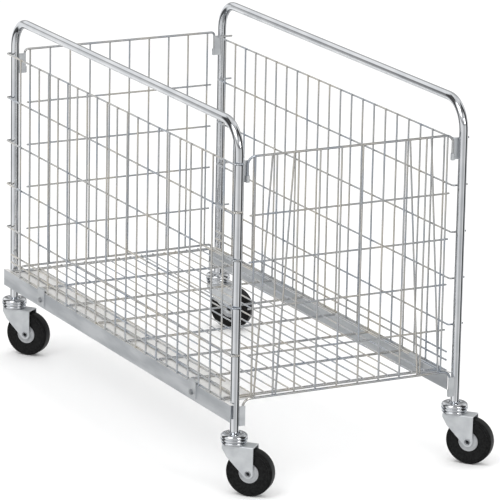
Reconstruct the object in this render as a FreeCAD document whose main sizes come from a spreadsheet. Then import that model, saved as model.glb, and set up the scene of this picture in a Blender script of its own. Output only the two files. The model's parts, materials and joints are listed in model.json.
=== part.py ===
import FreeCAD, Part
import math
import os
import Sketcher
from FreeCAD import Placement, Rotation, Vector

# Wire basket trolley with lift-out end gates, a tip-up deck and four swivel casters.
# The front end is at +X, the left side at -Y, the floor at zero height.

# Every driving size: name, value (millimetres unless said), meaning.
SIZES = (
    ("wheelbase", 1100, "post centres along the trolley"),
    ("track", 520, "post centres across the trolley"),
    ("post_foot", 125, "lower end of the posts above the floor"),
    ("bar_rise", 650, "hand rail centre above the post foot"),
    ("tube_od", 19.1, "side tube outside diameter"),
    ("tube_wall", 1.2, "side tube wall"),
    ("tube_bend", 62, "bend of the side tube at its centre"),
    ("weld_gap", 0.05, "clearance left between two welded pieces"),
    ("weld_bite", 0.8, "how far two crossing wires melt together"),
    ("wire", 4, "mesh wire diameter"),
    ("wire_bend", 5, "bend of the mesh wire ends"),
    ("mesh_out", 14.75, "mesh row wires from the post centre"),
    ("left_mesh_tip", 4, "left wire tips past the post centre"),
    ("right_mesh_tip", 20, "right wire tips past the post centre"),
    ("mesh_low", 71, "lowest mesh wire above the post foot"),
    ("mesh_twin", 22, "second lowest wire above the lowest"),
    ("mesh_third", 40, "third lowest wire above the lowest"),
    ("mesh_step", 100, "mesh rows apart"),
    ("mesh_rows", 5, "mesh rows with bent ends, a count"),
    ("mesh_short", 16, "lowest wires end short of the post centre"),
    ("mesh_pitch", 50, "mesh uprights apart"),
    ("mesh_uprights", 21, "mesh uprights, a count"),
    ("left_mesh_ahead", 21, "left mesh uprights ahead of the middle"),
    ("right_mesh_ahead", 4, "right mesh uprights ahead of the middle"),
    ("rail_wall", 1.5, "rail sheet"),
    ("rail_low", 32, "rail lower edge above the post foot"),
    ("rail_out", 18.6, "rail outer face from the post centre"),
    ("flange_in", 60, "left rail flange edge inside the post centre"),
    ("flange_end", 14, "left rail flange end from the post centre"),
    ("left_rail_past", 16, "left rail ends past the post centre"),
    ("right_rail_past", -3, "right rail ends past the post centre, short of it"),
    ("strap_wall", 2, "strap sheet"),
    ("strap_width", 33, "strap width"),
    ("strap_low", 38, "strap lower edge above the post foot"),
    ("strap_hook", 8, "strap hook reach over the wire"),
    ("strap_spread", 756, "left straps apart"),
    ("strap_ahead", 18, "left straps ahead of the middle"),
    ("hinge_spread", 850, "right hinge straps apart"),
    ("hinge_in", 28, "hinge rod from the right post centre"),
    ("hinge_rod", 6, "deck edge rod diameter"),
    ("hinge_fit", 0.05, "hinge rod running clearance at the radius"),
    ("eye_wall", 2, "hinge eye wall"),
    ("bolt_high", 50, "strap bolts above the post foot"),
    ("bolt", 6, "strap bolt diameter"),
    ("bolt_flats", 10, "strap bolt and nut across flats"),
    ("bolt_head", 4, "strap bolt head height"),
    ("bolt_nut", 5, "strap nut height"),
    ("bolt_spare", 2, "bolt end past its nut"),
    ("bolt_fit", 0.3, "bolt hole clearance at the radius"),
    ("thread_fit", 0.02, "clearance between bolt and nut at the radius"),
    ("deck_end", 25, "deck end wire from the post centre"),
    ("end_rod", 6, "deck end rod"),
    ("cross_wire", 5, "deck cross wire diameter"),
    ("cross_count", 8, "deck cross wires, a count"),
    ("long_wire", 3.2, "deck long wire diameter"),
    ("long_pitch", 29, "deck long wires apart"),
    ("long_count", 15, "deck long wires, a count"),
    ("long_first", 37, "first long wire from the hinge rod"),
    ("deck_tail", 4, "deck rod ends past the end wires"),
    ("deck_edge", 16, "deck left edge rod inside the post centre"),
    ("cross_past", 27.5, "deck cross wires past the left edge rod"),
    ("seat_gap", 0.3, "clearance under a resting piece"),
    ("gate_rod", 5, "gate frame rod diameter"),
    ("front_gate_bend", 17, "bend of the front gate frame rods"),
    ("rear_gate_bend", 8, "bend of the rear gate frame rods"),
    ("gate_bite", 0.6, "how far a gate rod melts into the uprights"),
    ("gate_top", 581, "gate top rod above the post foot"),
    ("gate_low", 74, "gate bottom rod above the post foot"),
    ("gate_leg", 52, "gate leg length"),
    ("gate_row", 164, "lowest gate cross wire above the post foot"),
    ("gate_step", 98, "gate cross wires apart"),
    ("gate_rows", 4, "gate cross wires, a count"),
    ("gate_wide", 464, "gate cross wire length"),
    ("gate_pitch", 49.5, "gate uprights apart"),
    ("gate_uprights", 10, "gate uprights, a count"),
    ("upper_leg_in", 22, "upper gate leg from the post centre"),
    ("lower_leg_in", 16.5, "lower gate leg from the post centre"),
    ("brace_outer", 217, "outer brace foot from the middle"),
    ("brace_gap", 50, "inner brace from the outer brace"),
    ("brace_lean", 33, "brace lean over its height"),
    ("leg_fit", 0.3, "gate leg clearance in its eye at the radius"),
    ("clip_wall", 1.6, "gate bracket sheet"),
    ("clip_top_past", 1, "upper gate bracket sheet past the eye centre"),
    ("clip_low_past", 4, "lower gate bracket sheet past the eye centre"),
    ("clip_eye", 14, "gate bracket eye height"),
    ("clip_lap", 2.4, "gate bracket sheet edge inside the tube width"),
    ("clip_top_tall", 45, "upper gate bracket height"),
    ("clip_low_tall", 42, "lower gate bracket height"),
    ("clip_top", 528, "upper gate bracket foot above the post foot"),
    ("clip_low", 19, "lower gate bracket foot above the post foot"),
    ("wheel", 100, "wheel diameter"),
    ("tyre_wide", 27, "tyre width"),
    ("tyre_round", 3.5, "tyre shoulder rounding"),
    ("tyre_bevel", 1.5, "bevel of the tyre bore"),
    ("hub", 42, "hub diameter"),
    ("hub_wide", 31, "hub width"),
    ("hub_boss", 24, "hub end boss diameter"),
    ("trail", 37, "axle behind the swivel centre"),
    ("axle", 8, "axle rivet diameter"),
    ("axle_fit", 0.05, "axle running clearance at the radius"),
    ("axle_bore", 6, "hole through the axle rivet"),
    ("axle_rim", 13, "axle rivet rim diameter"),
    ("axle_lip", 1.8, "axle rivet rim height"),
    ("axle_round", 0.8, "axle rivet rim rounding"),
    ("fork_inside", 32, "gap between the fork legs"),
    ("fork_wall", 2.5, "fork sheet"),
    ("fork_top", 107, "fork top face above the floor"),
    ("fork_heel", 20, "fork behind the swivel centre"),
    ("fork_back", 8, "upright part of the fork back edge"),
    ("fork_waist", 10, "fork behind the swivel centre at its bend"),
    ("fork_bend", 25, "fork bend below its top face"),
    ("fork_toe", 10.5, "fork leg radius at the axle"),
    ("fork_lean", 45, "fork back edge where it meets the toe, degrees"),
    ("fork_round", 4, "fork shoulder rounding"),
    ("crown", 48, "round fork crown diameter"),
    ("cup", 57, "race cup diameter"),
    ("cup_skirt", 54, "race cup lower ring diameter"),
    ("cup_neck", 51, "race cup groove diameter"),
    ("cup_waist", 4.5, "race cup lower ring height"),
    ("cup_groove", 1.2, "race cup groove height"),
    ("cup_bore", 45, "race cup inside diameter"),
    ("cup_deep", 6, "race cup inside height"),
    ("cup_gap", 0.5, "race cup above the fork"),
    ("cup_mouth", 30, "race cup dish diameter round the post"),
    ("cup_dish", 4, "race cup dish depth"),
    ("cup_slope", 2.5, "race cup dish slope"),
    ("cup_round", 7, "race cup shoulder rounding"),
    ("cup_under", 2, "race cup lower rounding"),
    ("ball", 5.4, "ball diameter"),
    ("ball_ring", 38, "ball ring diameter"),
    ("ball_count", 14, "balls, a count"),
    ("pin", 12, "swivel pin diameter"),
    ("pin_fit", 0.05, "swivel pin running clearance at the radius"),
    ("pin_head", 20, "swivel pin head diameter"),
    ("pin_head_tall", 3, "swivel pin head height"),
    ("pin_rise", 34, "swivel pin above the post foot"),
    ("bush_rise", 40, "stem bush above the post foot"),
    ("swivel_front_left", 44, "front left caster angle, degrees"),
    ("swivel_front_right", 41, "front right caster angle, degrees"),
    ("swivel_rear_left", 38, "rear left caster angle, degrees"),
    ("swivel_rear_right", 40, "rear right caster angle, degrees"),
)
HEX = 1 / math.sqrt(3)


class Dim:
    """A size: its sheet formula with its present value beside it."""

    def __init__(self, text, value):
        self.text = text
        self.value = value

    def __add__(self, other):
        other = as_dim(other)
        return Dim(f"({self.text} + {other.text})", self.value + other.value)

    def __sub__(self, other):
        other = as_dim(other)
        return Dim(f"({self.text} - {other.text})", self.value - other.value)

    def __mul__(self, other):
        other = as_dim(other)
        return Dim(f"({self.text} * {other.text})", self.value * other.value)

    def __truediv__(self, other):
        other = as_dim(other)
        return Dim(f"({self.text} / {other.text})", self.value / other.value)

    def __neg__(self):
        return Dim(f"(0 - {self.text})", -self.value)


def as_dim(size):
    """A plain number as a size that never changes."""
    if isinstance(size, Dim):
        return size
    return Dim(f"{float(size):.9f}", float(size))


def along(length, angle):
    """The part of a sloping length that lies level."""
    return Dim(f"({length.text} * cos({angle.text}))", length.value * math.cos(math.radians(angle.value)))


def rise(length, angle):
    """The part of a sloping length that stands upright."""
    return Dim(f"({length.text} * sin({angle.text}))", length.value * math.sin(math.radians(angle.value)))


class Sheet:
    """The sheet of driving sizes, each read back as a formula."""

    def __init__(self, doc):
        sheet = doc.addObject("Spreadsheet::Sheet", "Sizes")
        for row, (name, value, meaning) in enumerate(SIZES, 1):
            sheet.set(f"A{row}", name)
            sheet.set(f"B{row}", str(value))
            sheet.set(f"C{row}", meaning)
            sheet.setAlias(f"B{row}", name)
            setattr(self, name, Dim(f"Sizes.{name}", float(value)))


def bind(thing, prop, size):
    """Ties one property to a size."""
    thing.setExpression(prop, as_dim(size).text)


def origin_part(body, role):
    return next(part for part in body.Origin.OriginFeatures if part.Role == role)


class Outline:
    """A drawing on one of a body's own planes, every point tied to a size."""

    def __init__(self, body, plane, lift=None):
        self.sketch = body.newObject("Sketcher::SketchObject", "Outline")
        self.sketch.AttachmentSupport = [(origin_part(body, plane), "")]
        self.sketch.MapMode = "FlatFace"
        if lift is not None:
            lift = as_dim(lift)
            self.sketch.AttachmentOffset = Placement(Vector(0, 0, lift.value), Rotation())
            bind(self.sketch, "AttachmentOffset.Base.z", lift)

    def tie(self, item, point, across=None, up=None):
        """Ties one point of a line or arc to the drawing's zero."""
        for kind, axis, size in (("DistanceX", -2, across), ("DistanceY", -1, up)):
            if size is None:
                continue
            size = as_dim(size)
            if size.value == 0:
                self.sketch.addConstraint(Sketcher.Constraint("PointOnObject", item, point, axis))
                continue
            rule = Sketcher.Constraint(kind, -1, 1, item, point, size.value)
            bind(self.sketch, f"Constraints[{self.sketch.addConstraint(rule)}]", size)

    def line(self, start, end):
        spots = [Vector(as_dim(x).value, as_dim(y).value, 0) for x, y in (start, end)]
        return self.sketch.addGeometry(Part.LineSegment(*spots))

    def polygon(self, *corners):
        """A closed outline of straight edges."""
        count = len(corners)
        items = [self.line(corners[i], corners[(i + 1) % count]) for i in range(count)]
        for i, item in enumerate(items):
            follow = items[(i + 1) % count]
            self.sketch.addConstraint(Sketcher.Constraint("Coincident", item, 2, follow, 1))
        for item, (across, up) in zip(items, corners):
            self.tie(item, 1, across, up)
        return self

    def rectangle(self, left, low, right, high):
        return self.polygon((left, low), (right, low), (right, high), (left, high))

    def hexagon(self, across, up, flats):
        half = flats / 2
        point = flats * HEX
        return self.polygon(
            (across + point, up), (across + point / 2, up + half),
            (across - point / 2, up + half), (across - point, up),
            (across - point / 2, up - half), (across + point / 2, up - half))

    def circle(self, across, up, diameter):
        across, up, diameter = as_dim(across), as_dim(up), as_dim(diameter)
        centre = Vector(across.value, up.value, 0)
        ring = Part.Circle(centre, Vector(0, 0, 1), diameter.value / 2)
        item = self.sketch.addGeometry(ring)
        self.tie(item, 3, across, up)
        rule = Sketcher.Constraint("Diameter", item, diameter.value)
        bind(self.sketch, f"Constraints[{self.sketch.addConstraint(rule)}]", diameter)
        return self

    def run(self, start, end):
        """One straight stretch for a wire to follow."""
        item = self.line(start, end)
        self.tie(item, 1, *start)
        self.tie(item, 2, *end)
        return self

    def hoop(self, half, foot, crown, bend):
        """A bar with both ends bent over: legs from foot to crown at each side."""
        rising = crown.value > foot.value
        knee = crown - bend if rising else crown + bend
        inner = half - bend
        spots = [(-half, foot), (-half, knee), (-inner, crown),
                 (inner, crown), (half, knee), (half, foot)]
        legs = [self.line(spots[i], spots[i + 1]) for i in (0, 2, 4)]
        for item, i in zip(legs, (0, 2, 4)):
            self.tie(item, 1, *spots[i])
            self.tie(item, 2, *spots[i + 1])
        turn = math.pi / 2
        # Each corner: arc centre side, first angle, and the leg ends it joins.
        if rising:
            corners = ((-inner, 1, (legs[1], 1), (legs[0], 2)),
                       (inner, 0, (legs[2], 1), (legs[1], 2)))
        else:
            corners = ((-inner, 2, (legs[0], 2), (legs[1], 1)),
                       (inner, 3, (legs[1], 2), (legs[2], 1)))
        for centre, quarter, start, end in corners:
            ring = Part.Circle(Vector(centre.value, knee.value, 0), Vector(0, 0, 1), bend.value)
            arc = self.sketch.addGeometry(Part.ArcOfCircle(ring, quarter * turn, (quarter + 1) * turn))
            self.sketch.addConstraint(Sketcher.Constraint("Coincident", arc, 1, *start))
            self.sketch.addConstraint(Sketcher.Constraint("Coincident", arc, 2, *end))
            self.tie(arc, 3, centre)
        return self

    def axis(self, across):
        """The line the outline is turned about."""
        item = self.line((across, -1), (across, 1))
        self.sketch.setConstruction(item, True)
        self.tie(item, 1, across, -1)
        self.tie(item, 2, across, 1)
        return self


def pad(body, outline, length, middle=False):
    feature = body.newObject("PartDesign::Pad", "Pad")
    feature.Profile = outline.sketch
    if middle:
        feature.SideType = "Symmetric"
    bind(feature, "Length", length)
    return feature


def cut_through(body, outline):
    feature = body.newObject("PartDesign::Pocket", "Cut")
    feature.Profile = outline.sketch
    feature.SideType = "Symmetric"
    feature.Type = "ThroughAll"
    return feature


def pipe(body, section, path):
    feature = body.newObject("PartDesign::AdditivePipe", "Pipe")
    feature.Profile = section.sketch
    feature.Spine = path.sketch
    return feature


def turn(body, outline, axis="V_Axis"):
    feature = body.newObject("PartDesign::Revolution", "Turn")
    feature.Profile = outline.sketch
    feature.ReferenceAxis = (outline.sketch, [axis])
    feature.Angle = 360
    return feature


def repeat(body, feature, axis, step, count):
    """Copies a feature in a straight row along one of the body's axes."""
    row = body.newObject("PartDesign::LinearPattern", "Row")
    row.Originals = [feature]
    row.Direction = (origin_part(body, axis), [""])
    bind(row, "Length", step * (count - 1))
    bind(row, "Occurrences", count)
    body.Tip = row
    return row


def ring(body, feature, count):
    """Copies a feature round the body's upright axis."""
    row = body.newObject("PartDesign::PolarPattern", "Ring")
    row.Originals = [feature]
    row.Axis = (origin_part(body, "Z_Axis"), [""])
    row.Angle = 360
    bind(row, "Occurrences", count)
    body.Tip = row
    return row


def soften(doc, body, feature, radius, chosen):
    """Rounds the edges of a feature that a test picks out."""
    doc.recompute()
    names = [f"Edge{i}" for i, edge in enumerate(feature.Shape.Edges, 1) if chosen(edge)]
    fillet = body.newObject("PartDesign::Fillet", "Round")
    fillet.Base = (feature, names)
    bind(fillet, "Radius", radius)
    return fillet


class Trolley:
    """Builds every piece and keeps the ones that are written out."""

    def __init__(self, doc):
        self.doc = doc
        self.size = Sheet(doc)
        doc.recompute()
        self.pieces = []

    def body(self, name, keep=True):
        body = self.doc.addObject("PartDesign::Body", name)
        body.Label = name
        body.AllowCompound = True
        if keep:
            self.pieces.append(body)
        return body

    def group(self, name, bodies):
        """Several alike pieces kept as one group."""
        group = self.doc.addObject("Part::Compound", name)
        group.Label = name
        group.Links = bodies
        self.pieces.append(group)

    @staticmethod
    def place(body, x=0, y=0, z=0, angle=0):
        x, y, z, angle = (as_dim(size) for size in (x, y, z, angle))
        spot = Vector(x.value, y.value, z.value)
        body.Placement = Placement(spot, Rotation(Vector(0, 0, 1), angle.value))
        for axis, size in zip("xyz", (x, y, z)):
            bind(body, f"Placement.Base.{axis}", size)
        if angle.value:
            bind(body, "Placement.Rotation.Angle", angle)

    def side_tube(self, name, side):
        size = self.size
        body = self.body(name)
        half = size.wheelbase / 2
        path = Outline(body, "XZ_Plane").hoop(
            half, size.post_foot, size.post_foot + size.bar_rise, size.tube_bend)
        section = Outline(body, "XY_Plane", size.post_foot)
        section.circle(-half, 0, size.tube_od)
        section.circle(-half, 0, size.tube_od - size.tube_wall * 2)
        pipe(body, section, path)
        self.place(body, y=size.track * (side / 2))

    def side_mesh(self, name, side, ahead, tip, around):
        """A welded panel; its rows turn in around the far side of each post, or before it."""
        size = self.size
        body = self.body(name)
        low = size.post_foot + size.mesh_low
        # Rows whose ends turn in along the posts.
        first = low + size.mesh_step
        beside = size.tube_od / 2 + size.wire / 2 + size.weld_gap
        half = size.wheelbase / 2 + beside if around else size.wheelbase / 2 - beside
        path = Outline(body, "XY_Plane", first).hoop(half, tip, -size.mesh_out, size.wire_bend)
        section = Outline(body, "XZ_Plane", -tip).circle(-half, first, size.wire)
        repeat(body, pipe(body, section, path), "Z_Axis", size.mesh_step, size.mesh_rows)
        # Three straight wires near the rail.
        length = size.wheelbase - size.mesh_short * 2
        for height in (low, low + size.mesh_twin, low + size.mesh_third):
            spot = Outline(body, "YZ_Plane").circle(-size.mesh_out, height, size.wire)
            pad(body, spot, length, middle=True)
        # Uprights on the left of the rows.
        away = size.mesh_out + size.wire - size.weld_bite
        start = size.mesh_pitch * (size.mesh_uprights - 1) / 2
        spot = Outline(body, "XY_Plane", low - size.wire / 2).circle(ahead - start, -away, size.wire)
        upright = pad(body, spot, size.mesh_step * size.mesh_rows + size.wire)
        repeat(body, upright, "X_Axis", size.mesh_pitch, size.mesh_uprights)
        self.place(body, y=size.track * (side / 2))

    def shelf_high(self):
        """Top face of the rails, under the lowest mesh wire."""
        size = self.size
        return size.post_foot + size.mesh_low - size.wire / 2 - size.weld_gap

    def deck_high(self):
        """Centre of the deck's edge rods, which lie on the left rail."""
        size = self.size
        return self.shelf_high() + size.seat_gap + size.hinge_rod / 2

    def rail(self, name, side, ahead, spread, past, flanged):
        """Folded sheet outside the posts; the left one has a wide flange under the deck."""
        size = self.size
        body = self.body(name)
        near = size.tube_od / 2 + size.weld_gap
        top = self.shelf_high()
        under = top - size.rail_wall
        low = size.post_foot + size.rail_low
        outer = size.rail_out
        inner = outer - size.rail_wall
        profile = Outline(body, "YZ_Plane").polygon(
            (-outer, low), (-inner, low), (-inner, under), (-near, under), (-near, top), (-outer, top))
        pad(body, profile, size.wheelbase + past * 2, middle=True)
        if flanged:
            flange = Outline(body, "YZ_Plane").rectangle(-inner, under, size.flange_in, top)
            pad(body, flange, size.wheelbase - size.flange_end * 2, middle=True)
        holes = Outline(body, "XZ_Plane")
        hole = size.bolt + size.bolt_fit * 2
        for end in (-1, 1):
            holes.circle(ahead + spread * (end / 2), size.post_foot + size.bolt_high, hole)
        cut_through(body, holes)
        self.place(body, y=size.track * (side / 2))

    def bolt_hole(self, body):
        size = self.size
        hole = Outline(body, "XZ_Plane")
        hole.circle(0, size.post_foot + size.bolt_high, size.bolt + size.bolt_fit * 2)
        cut_through(body, hole)

    def left_straps(self, name):
        """Hooked straps that hold the lowest wire of the left mesh to its rail."""
        size = self.size
        straps = []
        face = size.rail_out + size.thread_fit
        outer = face + size.strap_wall
        low = size.post_foot + size.strap_low
        over = size.post_foot + size.mesh_low + size.wire / 2 + size.weld_gap
        top = over + size.strap_wall
        tip = outer - size.strap_hook
        for end in (-1, 1):
            body = self.body(f"{name}_{'rear' if end < 0 else 'front'}", keep=False)
            profile = Outline(body, "YZ_Plane").polygon(
                (-face, low), (-face, over), (-tip, over), (-tip, top), (-outer, top), (-outer, low))
            pad(body, profile, size.strap_width, middle=True)
            self.bolt_hole(body)
            self.place(body, x=size.strap_ahead + size.strap_spread * (end / 2), y=size.track * -0.5)
            straps.append(body)
        self.group(name, straps)

    def right_straps(self, name):
        """Straps with a rolled eye that carry the deck's hinge rod."""
        size = self.size
        straps = []
        face = size.rail_out + size.thread_fit
        inner = face + size.strap_wall
        low = size.post_foot + size.strap_low
        high = self.deck_high()
        bore = size.hinge_rod + size.hinge_fit * 2
        eye = bore + size.eye_wall * 2
        bend = high - eye / 2 - size.strap_wall
        for end in (-1, 1):
            body = self.body(f"{name}_{'rear' if end < 0 else 'front'}", keep=False)
            leaf = Outline(body, "YZ_Plane").polygon(
                (-face, low), (-face, bend), (-size.hinge_in, high - bore / 2 - size.eye_wall / 4),
                (-size.hinge_in, high - eye / 2), (-inner, bend - size.strap_wall), (-inner, low))
            pad(body, leaf, size.strap_width, middle=True)
            pad(body, Outline(body, "YZ_Plane").circle(-size.hinge_in, high, eye),
                size.strap_width, middle=True)
            cut_through(body, Outline(body, "YZ_Plane").circle(-size.hinge_in, high, bore))
            self.bolt_hole(body)
            self.place(body, x=size.hinge_spread * (end / 2), y=size.track * 0.5)
            straps.append(body)
        self.group(name, straps)

    def strap_fasteners(self):
        """A bolt from the strap side and a nut behind the rail, four of each."""
        size = self.size
        high = size.post_foot + size.bolt_high
        face = size.rail_out + size.thread_fit + size.strap_wall
        back = size.rail_out - size.rail_wall
        end = back - size.bolt_nut - size.bolt_spare
        bolts, nuts = [], []
        sides = ((-1, size.strap_ahead, size.strap_spread), (1, as_dim(0), size.hinge_spread))
        spots = [(side, ahead + spread * (way / 2)) for side, ahead, spread in sides for way in (-1, 1)]
        for number, (side, spot) in enumerate(spots, 1):
            bolt = self.body(f"strap_bolt_{number}", keep=False)
            head = Outline(bolt, "XZ_Plane", face).hexagon(as_dim(0), high, size.bolt_flats)
            pad(bolt, head, size.bolt_head)
            shank = Outline(bolt, "XZ_Plane", end).circle(0, high, size.bolt)
            pad(bolt, shank, face - end + size.bolt_head / 2)
            nut = self.body(f"strap_nut_{number}", keep=False)
            seat = back - size.bolt_nut - size.thread_fit
            pad(nut, Outline(nut, "XZ_Plane", seat).hexagon(as_dim(0), high, size.bolt_flats), size.bolt_nut)
            cut_through(nut, Outline(nut, "XZ_Plane").circle(0, high, size.bolt + size.thread_fit * 2))
            for body in (bolt, nut):
                self.place(body, x=spot, y=size.track * (side / 2))
            bolts.append(bolt)
            nuts.append(nut)
        self.group("strap_bolts", bolts)
        self.group("strap_nuts", nuts)

    def deck_mesh(self, name):
        size = self.size
        body = self.body(name)
        high = self.deck_high()
        right = size.track / 2 - size.hinge_in
        left = -(size.track / 2) + size.deck_edge
        span = size.wheelbase - size.deck_end * 2
        for edge in (left, right):
            rod = Outline(body, "YZ_Plane").circle(edge, high, size.hinge_rod)
            pad(body, rod, span + size.deck_tail * 2, middle=True)
        start = Outline(body, "XZ_Plane", -right).circle(-(span / 2), high, size.cross_wire)
        cross = pad(body, start, right - left + size.cross_past)
        repeat(body, cross, "X_Axis", span / (size.cross_count - 1), size.cross_count)
        for end in (-1, 1):
            rod = Outline(body, "XZ_Plane", -right).circle(span * (end / 2), high, size.end_rod)
            pad(body, rod, right - left + size.cross_past)
        rise = size.cross_wire / 2 + size.long_wire / 2 - size.weld_bite
        first = right - size.long_first - size.long_pitch * (size.long_count - 1)
        spot = Outline(body, "YZ_Plane").circle(first, high + rise, size.long_wire)
        long = pad(body, spot, span + size.deck_tail * 2, middle=True)
        repeat(body, long, "Y_Axis", size.long_pitch, size.long_count)

    def gate(self, name, end, bend, braced):
        """A wire end gate whose four legs drop into eyes on the posts; the front one is braced."""
        size = self.size
        body = self.body(name)
        away = (size.wire / 2 + size.gate_rod / 2 - size.gate_bite) * end
        top = size.post_foot + size.gate_top
        low = size.post_foot + size.gate_low
        # Top rod on the inner face, bottom rod on the outer face.
        rods = ((top, size.upper_leg_in, -away), (low, size.lower_leg_in, away))
        for crown, inset, shift in rods:
            half = size.track / 2 - inset
            foot = crown - size.gate_leg
            path = Outline(body, "YZ_Plane", shift).hoop(half, foot, crown, bend)
            section = Outline(body, "XY_Plane", foot).circle(shift, -half, size.gate_rod)
            pipe(body, section, path)
        wire_away = (size.wire - size.weld_bite) * -end
        row = Outline(body, "XZ_Plane").circle(wire_away, size.post_foot + size.gate_row, size.wire)
        cross = pad(body, row, size.gate_wide, middle=True)
        repeat(body, cross, "Z_Axis", size.gate_step, size.gate_rows)
        start = size.gate_pitch * (size.gate_uprights - 1) / 2
        spot = Outline(body, "XY_Plane", low).circle(0, -start, size.wire)
        upright = pad(body, spot, top - low)
        repeat(body, upright, "Y_Axis", size.gate_pitch, size.gate_uprights)
        for side in (-1, 1) if braced else ():
            for foot in (size.brace_outer, size.brace_outer - size.brace_gap):
                head = foot - size.brace_lean
                path = Outline(body, "YZ_Plane").run((foot * side, low), (head * side, top))
                section = Outline(body, "XY_Plane", low).circle(0, foot * side, size.wire)
                pipe(body, section, path)
        self.place(body, x=size.wheelbase * (end / 2))

    def gate_bracket(self, name, end, side, upper):
        """Rolled sheet: an eye for a gate leg and a leaf that meets the post."""
        size = self.size
        body = self.body(name)
        away = size.wire / 2 + size.gate_rod / 2 - size.gate_bite
        bore = size.gate_rod + size.leg_fit * 2
        eye = bore + size.clip_wall * 2
        inset = size.upper_leg_in if upper else size.lower_leg_in
        out = -1 if upper else 1
        foot = size.post_foot + (size.clip_top if upper else size.clip_low)
        tall = size.clip_top_tall if upper else size.clip_low_tall
        facing = end * out
        middle = away * facing
        outer = (away + eye / 2) * facing
        inner = (away + bore / 2) * facing
        past = inset + (size.clip_top_past if upper else size.clip_low_past)
        edge = size.tube_od / 2 - size.clip_lap
        leaf = Outline(body, "XY_Plane", foot).polygon(
            (inner, edge * -side), (outer, edge * -side),
            (outer, past * -side), (inner, past * -side))
        pad(body, leaf, tall)
        pad(body, Outline(body, "XY_Plane", foot).circle(middle, inset * -side, eye), size.clip_eye)
        cut_through(body, Outline(body, "XY_Plane", foot).circle(middle, inset * -side, bore))
        self.place(body, x=size.wheelbase * (end / 2), y=size.track * (side / 2))

    def stem_bush(self, name):
        size = self.size
        body = self.body(name)
        outside = size.tube_od - size.tube_wall * 2 - size.weld_gap * 2
        plug = Outline(body, "XY_Plane", size.post_foot)
        plug.circle(0, 0, outside)
        plug.circle(0, 0, size.pin + size.weld_gap * 2)
        pad(body, plug, size.bush_rise)
        return body

    def swivel_pin(self, name):
        size = self.size
        body = self.body(name)
        under = size.fork_top - size.fork_wall - size.seat_gap
        foot = under - size.pin_head_tall
        profile = Outline(body, "XZ_Plane").polygon(
            (0, foot), (size.pin_head / 2, foot), (size.pin_head / 2, under), (size.pin / 2, under),
            (size.pin / 2, size.post_foot + size.pin_rise), (0, size.post_foot + size.pin_rise))
        turn(body, profile)
        return body

    def race_cup(self, name):
        size = self.size
        body = self.body(name)
        low = size.fork_top + size.cup_gap
        roof = low + size.cup_deep
        top = size.post_foot - size.weld_gap
        bore = size.pin / 2 + size.weld_gap
        rim = top + size.cup_dish
        waist = low + size.cup_waist
        under = waist + size.cup_groove
        profile = Outline(body, "XZ_Plane").polygon(
            (bore, roof), (size.cup_bore / 2, roof), (size.cup_bore / 2, low), (size.cup_skirt / 2, low),
            (size.cup_skirt / 2, waist), (size.cup_neck / 2, waist), (size.cup_neck / 2, under),
            (size.cup / 2, under), (size.cup / 2, rim), (size.cup_mouth / 2, rim),
            (size.cup_mouth / 2 - size.cup_slope, top), (bore, top))
        cup = turn(body, profile)
        edge_radius = size.cup.value / 2

        def widest(height):
            return lambda edge: abs(edge.BoundBox.ZMin - height.value) < 0.01 \
                and edge.BoundBox.ZLength < 0.01 and edge.BoundBox.XMax > edge_radius - 0.01
        shoulder = soften(self.doc, body, cup, size.cup_round, widest(rim))
        soften(self.doc, body, shoulder, size.cup_under, widest(under))
        return body

    def balls(self, name):
        size = self.size
        body = self.body(name)
        high = size.fork_top + size.thread_fit + size.ball / 2
        across = size.ball_ring / 2
        drawing = Outline(body, "XZ_Plane").axis(across)
        radius = size.ball / 2
        circle = Part.Circle(Vector(across.value, high.value, 0), Vector(0, 0, 1), radius.value)
        half = drawing.sketch.addGeometry(Part.ArcOfCircle(circle, -math.pi / 2, math.pi / 2))
        chord = drawing.line((across, high - radius), (across, high + radius))
        join = Sketcher.Constraint
        drawing.sketch.addConstraint(join("Coincident", half, 1, chord, 1))
        drawing.sketch.addConstraint(join("Coincident", half, 2, chord, 2))
        drawing.tie(chord, 1, across, high - radius)
        drawing.tie(chord, 2, across, high + radius)
        drawing.tie(half, 3, across)
        ring(body, turn(body, drawing, "Axis0"), size.ball_count)
        return body

    def fork(self, name):
        size = self.size
        body = self.body(name)
        outside = size.fork_inside + size.fork_wall * 2
        axle_high = size.wheel / 2
        toe = (size.trail - along(size.fork_toe, size.fork_lean),
               axle_high - rise(size.fork_toe, size.fork_lean))
        ahead = size.trail + size.fork_toe
        leg = Outline(body, "XZ_Plane").polygon(
            (-size.fork_heel, size.fork_top), (ahead, size.fork_top), (ahead, axle_high),
            (size.trail, axle_high), toe, (-size.fork_waist, size.fork_top - size.fork_bend),
            (-size.fork_heel, size.fork_top - size.fork_back))
        pad(body, leg, outside, middle=True)
        foot = Outline(body, "XZ_Plane").circle(size.trail, axle_high, size.fork_toe * 2)
        pad(body, foot, outside, middle=True)
        half = size.fork_inside / 2
        hollow = Outline(body, "YZ_Plane").rectangle(-half, 1, half, size.fork_top - size.fork_wall)
        legs = cut_through(body, hollow)
        top, wide = size.fork_top.value, outside.value / 2

        def shoulder(edge):
            box = edge.BoundBox
            return box.ZMin > top - 0.01 and box.YLength < 0.01 and abs(box.YMax) > wide - 0.01
        soften(self.doc, body, legs, size.fork_round, shoulder)
        crown = Outline(body, "XY_Plane", size.fork_top - size.fork_wall).circle(0, 0, size.crown)
        pad(body, crown, size.fork_wall)
        cut_through(body, Outline(body, "XY_Plane").circle(0, 0, size.pin + size.pin_fit * 2))
        bore = size.axle + size.weld_gap * 2
        cut_through(body, Outline(body, "XZ_Plane").circle(size.trail, axle_high, bore))
        return body

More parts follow.
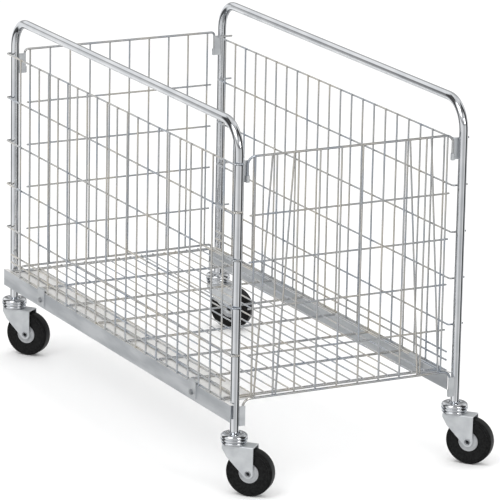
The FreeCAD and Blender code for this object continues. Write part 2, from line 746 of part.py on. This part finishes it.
    def axle_rivet(self, name):
        """Hollow rivet through the fork legs, its rims rolled over them."""
        size = self.size
        body = self.body(name)
        centre = size.trail
        face = size.fork_inside / 2 + size.fork_wall + size.thread_fit
        end = face + size.axle_lip
        bore, shank, rim = (centre + width / 2 for width in (size.axle_bore, size.axle, size.axle_rim))
        profile = Outline(body, "XY_Plane", size.wheel / 2).axis(centre).polygon(
            (bore, -end), (rim, -end), (rim, -face), (shank, -face),
            (shank, face), (rim, face), (rim, end), (bore, end))
        rivet = turn(body, profile, "Axis0")
        wide = size.axle_rim.value

        def rolled(edge):
            box = edge.BoundBox
            return abs(box.YMax) > end.value - 0.01 and box.YLength < 0.01 and box.ZLength > wide - 0.01
        soften(self.doc, body, rivet, size.axle_round, rolled)
        return body

    def hub(self, name):
        size = self.size
        body = self.body(name)
        centre = size.trail
        inner = size.axle / 2 + size.axle_fit
        boss = size.hub_wide / 2
        face = size.tyre_wide / 2
        profile = Outline(body, "XY_Plane", size.wheel / 2).axis(centre).polygon(
            (centre + inner, -boss), (centre + size.hub_boss / 2, -boss), (centre + size.hub_boss / 2, -face),
            (centre + size.hub / 2, -face), (centre + size.hub / 2, face), (centre + size.hub_boss / 2, face),
            (centre + size.hub_boss / 2, boss), (centre + inner, boss))
        turn(body, profile, "Axis0")
        return body

    def tyre(self, name):
        size = self.size
        body = self.body(name)
        centre = size.trail
        inner = centre + size.hub / 2 + size.thread_fit
        mouth = inner + size.tyre_bevel
        outer = centre + size.wheel / 2
        wide = size.tyre_wide / 2
        bevel = wide - size.tyre_bevel
        profile = Outline(body, "XY_Plane", size.wheel / 2).axis(centre).polygon(
            (inner, -bevel), (mouth, -wide), (outer, -wide),
            (outer, wide), (mouth, wide), (inner, bevel))
        wheel = turn(body, profile, "Axis0")
        radius = size.wheel.value / 2

        def shoulder(edge):
            box = edge.BoundBox
            return box.YLength < 0.01 and box.ZLength > radius * 2 - 0.01
        soften(self.doc, body, wheel, size.tyre_round, shoulder)
        return body

    def caster(self, corner, end, side):
        size = self.size
        angle = getattr(size, f"swivel_{corner}")
        makers = (self.stem_bush, self.swivel_pin, self.race_cup, self.balls, self.fork,
                  self.axle_rivet, self.hub, self.tyre)
        for maker in makers:
            body = maker(f"{corner}_{maker.__name__}")
            self.place(body, x=size.wheelbase * (end / 2), y=size.track * (side / 2), angle=angle)

    def build(self):
        size = self.size
        sides = (("left", -1), ("right", 1))
        for word, side in sides:
            self.side_tube(f"{word}_side_tube", side)
        self.side_mesh("left_side_mesh", -1, size.left_mesh_ahead, size.left_mesh_tip, True)
        self.side_mesh("right_side_mesh", 1, size.right_mesh_ahead, size.right_mesh_tip, False)
        self.rail("left_rail", -1, size.strap_ahead, size.strap_spread, size.left_rail_past, True)
        self.rail("right_rail", 1, as_dim(0), size.hinge_spread, size.right_rail_past, False)
        self.left_straps("left_rail_straps")
        self.right_straps("right_hinge_straps")
        self.strap_fasteners()
        self.deck_mesh("deck_mesh")
        self.gate("front_gate", 1, size.front_gate_bend, True)
        self.gate("rear_gate", -1, size.rear_gate_bend, False)
        for place, end in (("front", 1), ("rear", -1)):
            for word, side in sides:
                for level in ("upper", "lower"):
                    self.gate_bracket(f"{place}_{word}_{level}_bracket", end, side, level == "upper")
                self.caster(f"{place}_{word}", end, side)
        self.doc.recompute()

    def write(self, folder):
        """Checks every object, then writes each kept piece to its own file."""
        for thing in self.doc.Objects:
            if {"Invalid", "Error"} & set(thing.State):
                raise RuntimeError(f"{thing.Label} did not build")
        os.makedirs(folder, exist_ok=True)
        for piece in self.pieces:
            if piece.Shape.isNull() or not piece.Shape.isValid() or not piece.Shape.Solids:
                raise RuntimeError(f"{piece.Label} has no sound shape")
            piece.Shape.exportStep(f"{folder}/{piece.Label}.step")
            print(piece.Label, len(piece.Shape.Solids), "solids", round(piece.Shape.Volume), "mm3")


trolley = Trolley(FreeCAD.newDocument("Trolley"))
trolley.build()
trolley.write("parts")
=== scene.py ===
import bmesh
import bpy
import json
import math
from mathutils import Matrix, Vector


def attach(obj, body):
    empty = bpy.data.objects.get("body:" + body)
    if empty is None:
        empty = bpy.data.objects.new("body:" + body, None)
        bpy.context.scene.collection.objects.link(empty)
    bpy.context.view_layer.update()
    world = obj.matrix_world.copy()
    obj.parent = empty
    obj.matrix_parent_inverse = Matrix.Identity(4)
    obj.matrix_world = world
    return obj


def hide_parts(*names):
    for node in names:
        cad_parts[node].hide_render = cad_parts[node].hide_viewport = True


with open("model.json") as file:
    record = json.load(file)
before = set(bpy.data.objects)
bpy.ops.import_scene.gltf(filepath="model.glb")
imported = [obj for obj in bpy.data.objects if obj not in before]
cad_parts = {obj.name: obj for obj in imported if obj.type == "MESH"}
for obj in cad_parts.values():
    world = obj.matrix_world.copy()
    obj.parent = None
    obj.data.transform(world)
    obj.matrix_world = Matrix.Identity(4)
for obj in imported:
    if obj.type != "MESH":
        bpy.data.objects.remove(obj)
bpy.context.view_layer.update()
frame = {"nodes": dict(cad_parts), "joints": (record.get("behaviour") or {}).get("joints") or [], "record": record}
nodes = frame["nodes"]
MM = 0.001
WHITE = (1.0, 1.0, 1.0, 1.0)
# Share of the noise over which the two tones of a finish change places.
BLEND = (0.36, 0.64)
# How far up a face looks, as the height of its normal, where the painted light on upward faces starts and where it
# covers.
PAINTED_LIGHT_FROM, PAINTED_LIGHT_FULL = 0.6, 0.95
# Upward faces are also drawn less metallic, so the painted light reads paler.
PAINTED_LIGHT_METALLIC = 0.1
# Edges of a turned piece sharper than this stay crisp.
CRISP = math.radians(40)
# Segments round a turned piece: wheels and cups, rivets, weld beads.
FINE, SMALL, TINY = 72, 40, 8


# Finishes


def linear(code):
    """An sRGB hex colour as linear light."""
    parts = [int(code[i:i + 2], 16) / 255 for i in (1, 3, 5)]
    return [p / 12.92 if p <= 0.04045 else ((p + 0.055) / 1.055) ** 2.4 for p in parts] + [1.0]


def add(tree, kind, settings=None, links=None):
    """Adds one node, with its settings by name and the outputs that feed its inputs."""
    node = tree.nodes.new(kind)
    for name, value in (settings or {}).items():
        if isinstance(name, str) and name in node.bl_rna.properties:
            setattr(node, name, value)
        else:
            node.inputs[name].default_value = value
    for name, output in (links or {}).items():
        tree.links.new(output, node.inputs[name])
    return node


def finish(name, light, dark, patch, grit, rough, **surface):
    """A surface with two close tones in soft patches, uneven gloss and a fine raised grain.

    patch and grit are sizes in millimetres, rough is the gloss from its smoothest to its dullest.
    Plated and moulded grain is finer than the render can show, so grit is drawn coarser than real.
    dust, where given, is a paler colour painted on faces that look up: painted light, as if the tops were lit
    more.
    """
    material = bpy.data.materials.new(name)
    material.use_nodes = True
    tree = material.node_tree
    shader = tree.nodes["Principled BSDF"]
    stretch = surface.pop("stretch", (1, 1, 1))
    height = surface.pop("height", 0.02)
    dust = surface.pop("dust", None)
    for socket, value in surface.items():
        shader.inputs[socket].default_value = value
    spot = add(tree, "ShaderNodeTexCoord").outputs["Object"]
    laid = add(tree, "ShaderNodeMapping", {"Scale": stretch}, {"Vector": spot}).outputs["Vector"]
    cloud = add(tree, "ShaderNodeTexNoise", {"Scale": 1 / (patch * MM), "Detail": 3.0}, {"Vector": laid})
    share = add(tree, "ShaderNodeMapRange", {"From Min": BLEND[0], "From Max": BLEND[1]},
                {"Value": cloud.outputs["Fac"]})
    tone = add(tree, "ShaderNodeMix", {"data_type": "RGBA", 6: linear(light), 7: linear(dark)},
               {0: share.outputs["Result"]})
    grain = add(tree, "ShaderNodeTexNoise", {"Scale": 1 / (grit * MM), "Detail": 2.0}, {"Vector": laid})
    gloss = add(tree, "ShaderNodeMapRange", {"To Min": rough[0], "To Max": rough[1]},
                {"Value": grain.outputs["Fac"]})
    raised = add(tree, "ShaderNodeBump", {"Strength": 0.5, "Distance": height * MM},
                 {"Height": grain.outputs["Fac"]})
    # Painted light: faces that look up get a paler colour and less metal, as if lit more.
    if dust:
        face = add(tree, "ShaderNodeSeparateXYZ", None,
                   {"Vector": add(tree, "ShaderNodeNewGeometry").outputs["Normal"]})
        upward = add(tree, "ShaderNodeMapRange", {"From Min": PAINTED_LIGHT_FROM, "From Max": PAINTED_LIGHT_FULL},
                     {"Value": face.outputs["Z"]})
        tone = add(tree, "ShaderNodeMix", {"data_type": "RGBA", 7: linear(dust)},
                   {0: upward.outputs["Result"], 6: tone.outputs[2]})
        plate = add(tree, "ShaderNodeMapRange",
                    {"To Min": surface["Metallic"], "To Max": PAINTED_LIGHT_METALLIC},
                    {"Value": upward.outputs["Result"]})
        tree.links.new(plate.outputs["Result"], shader.inputs["Metallic"])
    tree.links.new(tone.outputs[2], shader.inputs["Base Color"])
    tree.links.new(gloss.outputs["Result"], shader.inputs["Roughness"])
    tree.links.new(raised.outputs["Normal"], shader.inputs["Normal"])
    return material


# Chromium plate on drawn tube: a mirror, slightly uneven in tone and gloss.
chromed_tube = finish("chromium_plated_drawn_tube", "#e3e5e8", "#d5d8dc", 60, 6, (0.03, 0.08),
                      Metallic=1.0, height=0.01)
# Bright zinc on drawn wire: silver with a soft sheen, tinted straw and blue in places by its bath.
plated_wire = finish("bright_zinc_plated_drawn_wire", "#d9d5cd", "#bbc1c9", 90, 2, (0.06, 0.16),
                     Metallic=0.92, height=0.02)
# Zinc on cold rolled sheet: faint rolling lines along its length, upper faces painted paler as painted light.
rolled_sheet = finish("zinc_plated_cold_rolled_sheet", "#cfd2d5", "#b2b6ba", 26, 1.5, (0.30, 0.44),
                      Metallic=0.7, stretch=(0.2, 1, 1), height=0.02, dust="#e3e2e0")
# Zinc on a pressing: dull grey with a speckle from the press and the barrel.
pressed_sheet = finish("zinc_plated_pressing", "#c6c9cb", "#b9bcbf", 22, 1.2, (0.32, 0.44),
                       Metallic=0.55, height=0.04)
# Barrel plated fastener: a little darker than the sheet it holds.
fastener_zinc = finish("barrel_zinc_plated_steel", "#b3b5b8", "#9a9da0", 6, 0.8, (0.28, 0.42),
                       Metallic=1.0, height=0.03)
# Moulded rubber: near black with a low sheen and a fine skin from the mould.
tyre_rubber = finish("moulded_black_rubber", "#181919", "#050506", 4, 1.0, (0.28, 0.50),
                     height=0.12, **{"Specular IOR Level": 0.15})
# Moulded polypropylene: plain grey with a faint satin skin.
hub_grey = finish("moulded_grey_polypropylene", "#a9abad", "#9a9c9f", 12, 1.0, (0.40, 0.52), height=0.03)
# Moulded nylon: black, satin.
bush_black = finish("moulded_black_nylon", "#1d1d1e", "#161617", 10, 1.0, (0.40, 0.52), height=0.03)

by_slot = {
    "plated_tube": chromed_tube, "plated_wire": plated_wire, "zinc_sheet": rolled_sheet,
    "fastener_steel": fastener_zinc, "tyre_rubber": tyre_rubber, "hub_plastic": hub_grey,
    "bush_plastic": bush_black,
}
for subpart in frame["record"]["subparts"]:
    node = nodes[subpart["node"]]
    node.data.materials.clear()
    pressed = subpart["node"].endswith(("_fork", "_bracket", "_straps"))
    node.data.materials.append(pressed_sheet if pressed else by_slot[subpart["material_slot"]])


# Turned pieces


def lathe(name, profile, base, axis, body, coat, stands_for=(), steps=FINE):
    """A turned piece: its profile is radius and distance along the axis, in millimetres."""
    shape = bmesh.new()
    corners = [shape.verts.new((radius * MM, 0, along * MM)) for radius, along in profile]
    for start, end in zip(corners, corners[1:] + corners[:1]):
        shape.edges.new((start, end))
    bmesh.ops.spin(shape, geom=shape.verts[:] + shape.edges[:], cent=(0, 0, 0), axis=(0, 0, 1),
                   angle=2 * math.pi, steps=steps, use_merge=True)
    bmesh.ops.remove_doubles(shape, verts=shape.verts[:], dist=0.001 * MM)
    bmesh.ops.recalc_face_normals(shape, faces=shape.faces[:])
    aim = Vector(axis).to_track_quat("Z", "Y").to_matrix().to_4x4()
    bmesh.ops.transform(shape, matrix=Matrix.Translation(Vector(base)) @ aim, verts=shape.verts[:])
    mesh = bpy.data.meshes.new(name)
    shape.to_mesh(mesh)
    shape.free()
    mesh.shade_smooth()
    mesh.set_sharp_from_angle(angle=CRISP)
    mesh.materials.append(coat)
    piece = bpy.data.objects.new(name, mesh)
    bpy.context.scene.collection.objects.link(piece)
    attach(piece, body)
    if stands_for:
        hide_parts(*stands_for)


def both_sides(half):
    """A profile drawn on one side of the wheel, closed by its mirror image."""
    return list(half) + [(radius, -along) for radius, along in reversed(half)]


# Flat side wall, a fine groove, a lip at the shoulder, then round to the tread.
TYRE = both_sides([(21.1, 12.0), (22.4, 13.2), (24.0, 13.4), (42.2, 13.4), (42.6, 12.9), (43.2, 12.9),
                   (43.6, 13.4), (46.2, 13.5), (47.8, 13.0), (49.0, 12.0), (49.7, 10.6), (50.0, 8.8)])
# Boss at the axle, a shallow dish, a raised rim under the tyre.
HUB = both_sides([(4.1, 15.4), (11.4, 15.4), (12.0, 14.9), (12.3, 12.4), (18.8, 12.2), (19.4, 13.2),
                  (20.0, 13.5), (21.0, 13.5)])
# Tube whose end is spun open and rolled back over the fork leg.
RIVET = both_sides([(3.0, 17.0), (3.2, 18.6), (4.0, 19.8), (5.0, 20.3), (5.9, 20.0), (6.4, 19.3),
                    (6.5, 18.6), (4.0, 18.55)])
# Dish round the post, rolled shoulder, two pressed rings over the balls.
CUP = [(9.8, 125.1), (12.4, 125.1), (13.6, 127.2), (14.6, 128.6), (15.8, 128.9), (21.4, 128.9),
       (24.2, 128.3), (26.6, 126.6), (28.0, 124.2), (28.4, 122.0), (27.9, 121.1), (25.8, 120.8),
       (25.8, 119.4), (27.9, 119.0), (28.5, 117.8), (28.5, 115.8), (27.8, 114.4), (26.4, 113.9),
       (24.2, 113.7), (24.2, 112.3), (26.4, 112.0), (27.0, 111.2), (27.0, 108.8), (26.4, 107.9),
       (25.4, 107.5), (22.6, 107.5), (22.6, 113.4), (9.8, 113.4)]
# Ripples left along a short weld, turned about its own length.
BEAD = [(0.0, -5.0), (1.3, -4.4), (1.9, -3.2), (1.7, -2.4), (2.2, -1.4), (1.9, -0.5), (2.2, 0.5),
        (1.8, 1.5), (2.1, 2.5), (1.7, 3.4), (1.2, 4.4), (0.0, 5.0)]
# Mesh rows with bent ends: how many, the lowest above the floor and their spacing.
ROWS, LOW_ROW, ROW_STEP = 5, 294, 100
# Weld beads from the post centre.
BESIDE = 9.9

for joint in frame["joints"]:
    corner, motion = joint["name"].rsplit("_", 1)
    if motion == "spin":
        spot, axis = joint["pos_m"], joint["axis"]
        lathe(f"{corner}_tyre_moulding", TYRE, spot, axis, f"{corner}_wheel", tyre_rubber,
              [f"{corner}_tyre"])
        lathe(f"{corner}_hub_moulding", HUB, spot, axis, f"{corner}_wheel", hub_grey,
              [f"{corner}_hub"])
        lathe(f"{corner}_rolled_rivet", RIVET, spot, axis, f"{corner}_caster", fastener_zinc,
              [f"{corner}_axle_rivet"], SMALL)
    if motion == "swivel":
        x, y = joint["pos_m"][:2]
        lathe(f"{corner}_race_pressing", CUP, (x, y, 0), (0, 0, 1), "frame", chromed_tube,
              [f"{corner}_race_cup"])
        # The left rows end on the far side of each post, the right rows before it.
        beside = math.copysign(BESIDE * MM, -x * y)
        for row in range(ROWS):
            spot = (x + beside, y, (LOW_ROW + ROW_STEP * row) * MM)
            lathe(f"{corner}_row_weld_{row + 1}", BEAD, spot, (0, 1, 0), "frame", plated_wire,
                  (), TINY)


# Studio

# Half the floor's width in metres, and how far it lies under the wheels.
FLOOR_REACH = 40
FLOOR_DROP = 0.5 * MM


def floor():
    """A plain pale floor, wide enough to reach past every view."""
    mesh = bpy.data.meshes.new("floor")
    shape = bmesh.new()
    bmesh.ops.create_grid(shape, x_segments=1, y_segments=1, size=FLOOR_REACH)
    shape.to_mesh(mesh)
    shape.free()
    ground = bpy.data.objects.new("floor", mesh)
    bpy.context.scene.collection.objects.link(ground)
    ground.location.z = -FLOOR_DROP
    paint = bpy.data.materials.new("matt_white_paint")
    paint.use_nodes = True
    shader = paint.node_tree.nodes["Principled BSDF"]
    shader.inputs["Base Color"].default_value = linear("#fcfcfc")
    shader.inputs["Roughness"].default_value = 0.9
    shader.inputs["Specular IOR Level"].default_value = 0.1
    mesh.materials.append(paint)
    ground.visible_glossy = False


def room():
    """Even white light, with the darker walls of a studio for bright metal to show."""
    world = bpy.data.worlds.new("studio")
    bpy.context.scene.world = world
    world.use_nodes = True
    tree = world.node_tree
    tree.nodes.clear()
    way = add(tree, "ShaderNodeTexCoord").outputs["Generated"]
    flat = add(tree, "ShaderNodeSeparateXYZ", None, {"Vector": way})
    turn = add(tree, "ShaderNodeMath", {"operation": "ARCTAN2"},
               {0: flat.outputs["Y"], 1: flat.outputs["X"]})
    share = add(tree, "ShaderNodeMapRange", {"From Min": -math.pi, "From Max": math.pi},
                {"Value": turn.outputs[0]})
    walls = add(tree, "ShaderNodeValToRGB", None, {"Fac": share.outputs["Result"]})
    # Wall tones round the room, in degrees from the trolley's front.
    tones = ((-180, 1.0), (-154, 1.0), (-146, 0.10), (-116, 0.10), (-108, 1.0), (-60, 0.9),
             (-32, 0.60), (2, 0.55), (20, 0.9), (32, 0.9), (38, 0.06), (78, 0.06), (90, 0.9), (110, 0.9),
             (128, 0.55), (158, 0.55), (168, 1.0))
    # Tones from the floor up to the ceiling, in degrees above the horizon.
    levels = ((-60, 0.30), (-38, 1.0), (5, 1.0), (10, 0.45), (16, 0.45), (21, 1.0), (40, 1.0),
              (52, 0.28))
    height = add(tree, "ShaderNodeMapRange", {"From Min": -1.0, "From Max": 1.0},
                 {"Value": flat.outputs["Z"]})
    storeys = add(tree, "ShaderNodeValToRGB", None, {"Fac": height.outputs["Result"]})
    for ramp, steps in ((walls, [((angle + 180) / 360, tone) for angle, tone in tones]),
                        (storeys, [((math.sin(math.radians(angle)) + 1) / 2, tone)
                                   for angle, tone in levels])):
        stops = ramp.color_ramp.elements
        while len(stops) < len(steps):
            stops.new(0.5)
        for stop, (place, tone) in zip(stops, steps):
            stop.position = place
            stop.color = (tone, tone, tone, 1)
    around = add(tree, "ShaderNodeMix", {"data_type": "RGBA", "blend_type": "MULTIPLY", 0: 1.0},
                 {6: walls.outputs["Color"], 7: storeys.outputs["Color"]})
    path = add(tree, "ShaderNodeLightPath")
    metal = add(tree, "ShaderNodeMix", {"data_type": "RGBA", 6: WHITE},
                {0: path.outputs["Is Glossy Ray"], 7: around.outputs[2]})
    clear = add(tree, "ShaderNodeMath", {"operation": "MAXIMUM"},
                {0: path.outputs["Is Camera Ray"], 1: path.outputs["Is Transmission Ray"]})
    seen = add(tree, "ShaderNodeMix", {"data_type": "RGBA", 7: WHITE},
               {0: clear.outputs[0], 6: metal.outputs[2]})
    sky = add(tree, "ShaderNodeBackground", {"Strength": 1.0}, {"Color": seen.outputs[2]})
    add(tree, "ShaderNodeOutputWorld", None, {"Surface": sky.outputs[0]})


def lamp(name, spot, aim, size, watts, glint=1.0):
    """A soft square lamp; glint is how much of it bright metal shows."""
    light = bpy.data.lights.new(name, "AREA")
    light.shape = "SQUARE"
    light.size = size
    light.energy = watts
    light.specular_factor = glint
    holder = bpy.data.objects.new(name, light)
    holder.location = spot
    holder.rotation_euler = (Vector(aim) - Vector(spot)).to_track_quat("-Z", "Y").to_euler()
    bpy.context.scene.collection.objects.link(holder)


# The fitted camera: its distance in metres, its lens and its sensor in millimetres.
DISTANCE, LENS, SENSOR = 8.242, 285.3, 36


def camera():
    """The photograph's viewpoint: a long lens from the front left, looking down a little."""
    azimuth, height, roll = math.radians(62.4), math.radians(15.19), math.radians(1.1)
    target = Vector((0.3441, -0.1239, 0.4492))
    back = Vector((math.sin(azimuth) * math.cos(height), -math.cos(azimuth) * math.cos(height),
                   math.sin(height)))
    side = Vector((math.cos(azimuth), math.sin(azimuth), 0))
    over = back.cross(side)
    right = side * math.cos(roll) + over * math.sin(roll)
    up = over * math.cos(roll) - side * math.sin(roll)
    lens = bpy.data.cameras.new("camera")
    lens.sensor_width = SENSOR
    lens.lens = LENS
    lens.clip_end = 200
    eye = bpy.data.objects.new("camera", lens)
    turn = Matrix((right, up, back)).transposed().to_4x4()
    eye.matrix_world = Matrix.Translation(target + back * DISTANCE) @ turn
    bpy.context.scene.collection.objects.link(eye)
    bpy.context.scene.camera = eye


floor()
room()
lamp("key", (1.5, -3.0, 4.0), (0, 0, 0.4), 3.0, 60)
lamp("top", (-0.5, 0.5, 4.5), (0, 0, 0), 4.0, 30)
lamp("rim", (3.9, 0.7, 2.0), (0.55, -0.26, 0.05), 1.1, 22, 0.2)
camera()
bpy.context.scene.view_settings.view_transform = "Standard"
